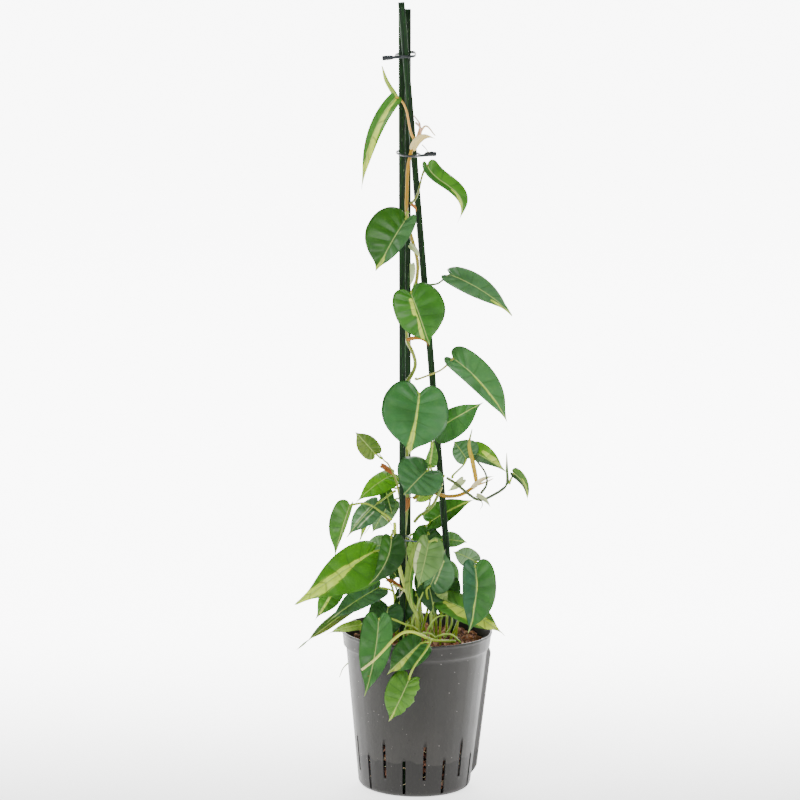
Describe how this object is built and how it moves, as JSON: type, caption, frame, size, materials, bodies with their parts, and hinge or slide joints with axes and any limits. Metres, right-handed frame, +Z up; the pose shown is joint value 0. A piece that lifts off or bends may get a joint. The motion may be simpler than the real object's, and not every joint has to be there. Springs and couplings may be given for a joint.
{
  "type": "potted philodendron",
  "caption": "Variegated heart-leaf climbing plant tied to upright stakes in a round slotted culture pot with a collar, filled with clay chips.",
  "frame": {"origin": "middle of the pot's underside, where it stands", "axes": "+Z up along the plant; the front of the plant faces -Y and its right-hand side is +X"},
  "size_m": [0.2813, 0.2147, 0.9395],
  "materials": {
    "pot_plastic": "satin, moulded grey",
    "clay_chips": "rough, broken",
    "peat": "fibrous",
    "dyed_cane": "split cane, dyed green",
    "tie_plastic": "satin, dark",
    "stem": "smooth living stem",
    "leaf": "waxy variegated leaf"
  },
  "bodies": {
    "root": {"leaf_01": "leaf", "leaf_02": "leaf", "leaf_03": "leaf", "leaf_04": "leaf", "leaf_05": "leaf", "leaf_06": "leaf", "leaf_07": "leaf", "leaf_08": "leaf", "leaf_09": "leaf", "leaf_10": "leaf", "leaf_11": "leaf", "leaf_12": "leaf", "leaf_13": "leaf", "leaf_14": "leaf", "leaf_15": "leaf", "leaf_16": "leaf", "leaf_17": "leaf", "leaf_18": "leaf", "leaf_19": "leaf", "leaf_20": "leaf", "leaf_21": "leaf", "leaf_22": "leaf", "leaf_23": "leaf", "leaf_24": "leaf", "leaf_25": "leaf", "leaf_26": "leaf", "leaf_27": "leaf", "leaf_28": "leaf", "leaf_29": "leaf", "leaf_30": "leaf", "leaf_31": "leaf", "leaf_32": "leaf", "leaf_33": "leaf", "leaf_34": "leaf", "leaf_35": "leaf", "leaf_36": "leaf", "leaf_37": "leaf", "leaf_38": "leaf", "leaf_39": "leaf", "leaf_40": "leaf", "leaf_41": "leaf", "leaf_42": "leaf", "leaf_43": "leaf", "leaf_44": "leaf", "pot": "pot_plastic", "root_ball": "peat", "stake_front": "dyed_cane", "stake_rear": "dyed_cane", "stake_right": "dyed_cane", "substrate": "clay_chips", "tie_low": "tie_plastic", "tie_middle": "tie_plastic", "tie_top": "tie_plastic", "vine_dark": "stem", "vine_front": "stem", "vine_green": "stem", "vine_main": "stem", "vine_orange": "stem", "vine_trailing": "stem", "vine_upper_left": "stem"}
  },
  "joints": []
}
